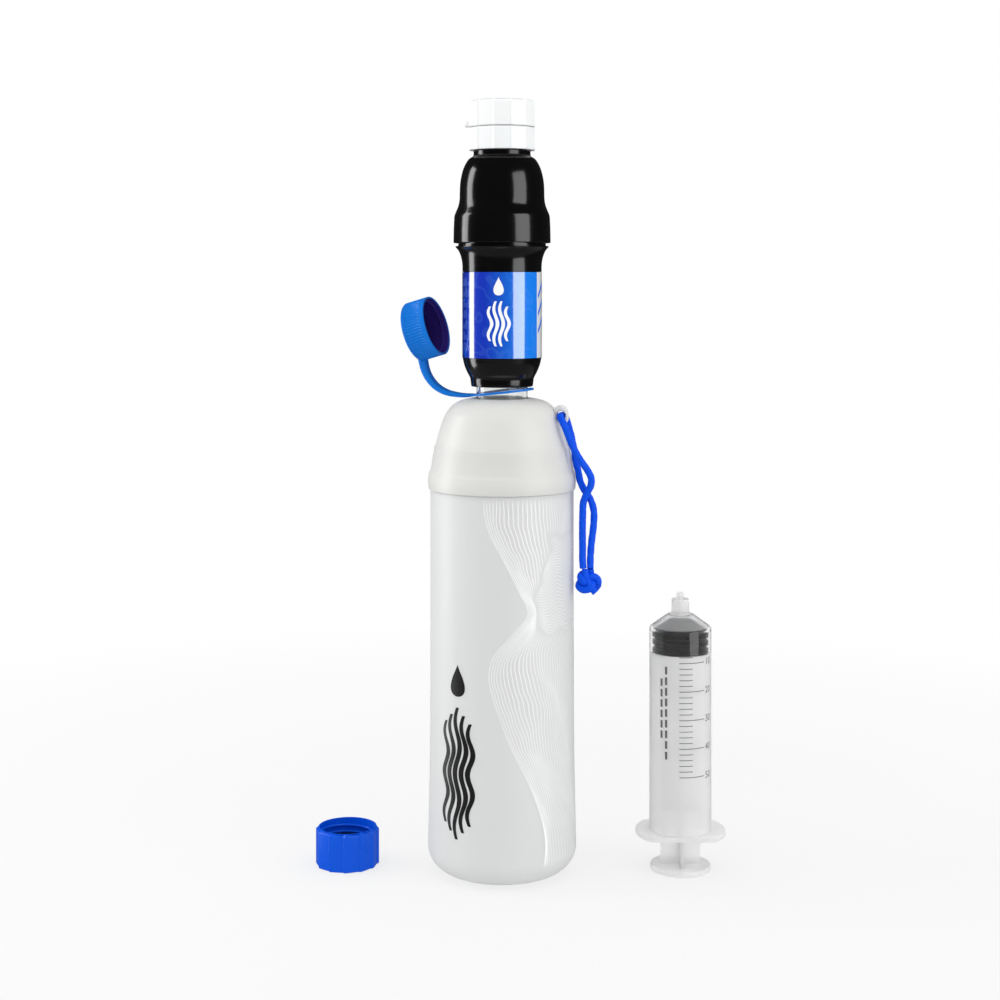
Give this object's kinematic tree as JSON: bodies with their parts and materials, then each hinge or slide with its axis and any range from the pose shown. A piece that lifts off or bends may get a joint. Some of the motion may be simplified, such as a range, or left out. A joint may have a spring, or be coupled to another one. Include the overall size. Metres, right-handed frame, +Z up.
{
  "type": "squeeze bottle water filter",
  "caption": "Squeeze bottle with a screw-on hollow-fibre water filter, push-pull spout, tethered cap and lanyard, with its cleaning plunger and coupling.",
  "frame": {"origin": "centre of the bottle's flat base, on the surface it stands on", "axes": "+Z up the common axis of bottle and filter, +X towards the cleaning plunger, -Y towards the viewer"},
  "size_m": [0.2003, 0.0722, 0.3744],
  "materials": {
    "frosted_plastic": "frosted translucent",
    "clear_plastic": "clear",
    "syringe_plastic": "translucent gloss",
    "white_plastic": "satin",
    "black_plastic": "gloss",
    "azure_plastic": "satin",
    "royal_plastic": "satin gloss",
    "label_film": "printed gloss film",
    "black_rubber": "matt",
    "grey_rubber": "matt",
    "fibre_white": "matt fibre",
    "potting_resin": "cast resin",
    "blue_cord": "braided"
  },
  "bodies": {
    "bottle": {"bottle_body": "frosted_plastic", "bottle_mouth": "frosted_plastic"},
    "shoulder_seal": {"shoulder_gasket": "grey_rubber"},
    "shoulder": {"bottle_shoulder": "frosted_plastic", "neck_insert": "clear_plastic", "lanyard_strand_front": "blue_cord", "lanyard_strand_rear": "blue_cord", "lanyard_knot": "blue_cord"},
    "tether": {"tether_ring": "azure_plastic", "tether_strap": "azure_plastic"},
    "neck_cap": {"tether_cap": "azure_plastic", "tether_cap_liner": "black_rubber"},
    "inlet_seal": {"inlet_gasket": "grey_rubber"},
    "filter": {"lower_housing": "black_plastic", "filter_label": "label_film", "housing_o_ring": "black_rubber", "fibre_bundle": "fibre_white", "potting_disc": "potting_resin", "upper_housing": "black_plastic", "outlet_neck": "black_plastic"},
    "outlet_seal": {"outlet_gasket": "grey_rubber"},
    "spout": {"spout_cap": "white_plastic"},
    "nozzle": {"spout_nozzle": "white_plastic"},
    "cover": {"dust_cap": "white_plastic"},
    "plunger": {"plunger_rod": "syringe_plastic", "plunger_seal": "black_rubber"},
    "barrel": {"syringe_barrel": "syringe_plastic"},
    "coupling": {"cleaning_coupling": "royal_plastic", "coupling_washer": "black_rubber"}
  },
  "joints": [
    {"name": "shoulder_rise", "type": "slide", "parent": "bottle", "child": "shoulder_seal", "axis": [0, 0, 1], "range_m": [0, 0.01]},
    {"name": "shoulder_unscrew", "type": "hinge", "parent": "shoulder_seal", "child": "shoulder", "pos_m": [0, 0, 0.2], "axis": [0, 0, 1], "range_deg": [0, 905]},
    {"name": "tether_swivel", "type": "hinge", "parent": "shoulder", "child": "tether", "pos_m": [0, 0, 0.2323], "axis": [0, 0, 1], "continuous": true},
    {"name": "neck_cap_flex", "type": "hinge", "parent": "tether", "child": "neck_cap", "pos_m": [-0.02904, 0.01086, 0.2325], "axis": [0.3502, 0.9367, 0], "range_deg": [-60, 4], "deforming": ["tether_strap"]},
    {"name": "filter_rise", "type": "slide", "parent": "shoulder", "child": "inlet_seal", "axis": [0, 0, 1], "range_m": [0, 0.0096]},
    {"name": "filter_unscrew", "type": "hinge", "parent": "inlet_seal", "child": "filter", "pos_m": [0, 0, 0.24], "axis": [0, 0, 1], "range_deg": [0, 1085]},
    {"name": "spout_rise", "type": "slide", "parent": "filter", "child": "outlet_seal", "axis": [0, 0, 1], "range_m": [0, 0.0064]},
    {"name": "spout_unscrew", "type": "hinge", "parent": "outlet_seal", "child": "spout", "pos_m": [0, 0, 0.355], "axis": [0, 0, 1], "range_deg": [0, 725]},
    {"name": "nozzle_pull", "type": "slide", "parent": "spout", "child": "nozzle", "axis": [0, 0, 1], "range_m": [0, 0.0035]},
    {"name": "dust_cap_lift", "type": "slide", "parent": "spout", "child": "cover", "axis": [0, 0, 1], "range_m": [0, 0.03]},
    {"name": "plunger_lift_off", "type": "slide", "parent": "bottle", "child": "plunger", "axis": [0, 0, 1], "range_m": [0, 0.1]},
    {"name": "barrel_draw", "type": "slide", "parent": "plunger", "child": "barrel", "axis": [0, 0, 1], "range_m": [0, 0.08]},
    {"name": "coupling_lift_off", "type": "slide", "parent": "bottle", "child": "coupling", "axis": [0, 0, 1], "range_m": [0, 0.1]}
  ],
  "couplings": [
    {"joint": "shoulder_unscrew", "follows": "shoulder_rise", "rad_per_m": 1570.8},
    {"joint": "filter_unscrew", "follows": "filter_rise", "rad_per_m": 1963.5},
    {"joint": "spout_unscrew", "follows": "spout_rise", "rad_per_m": 1963.5}
  ]
}
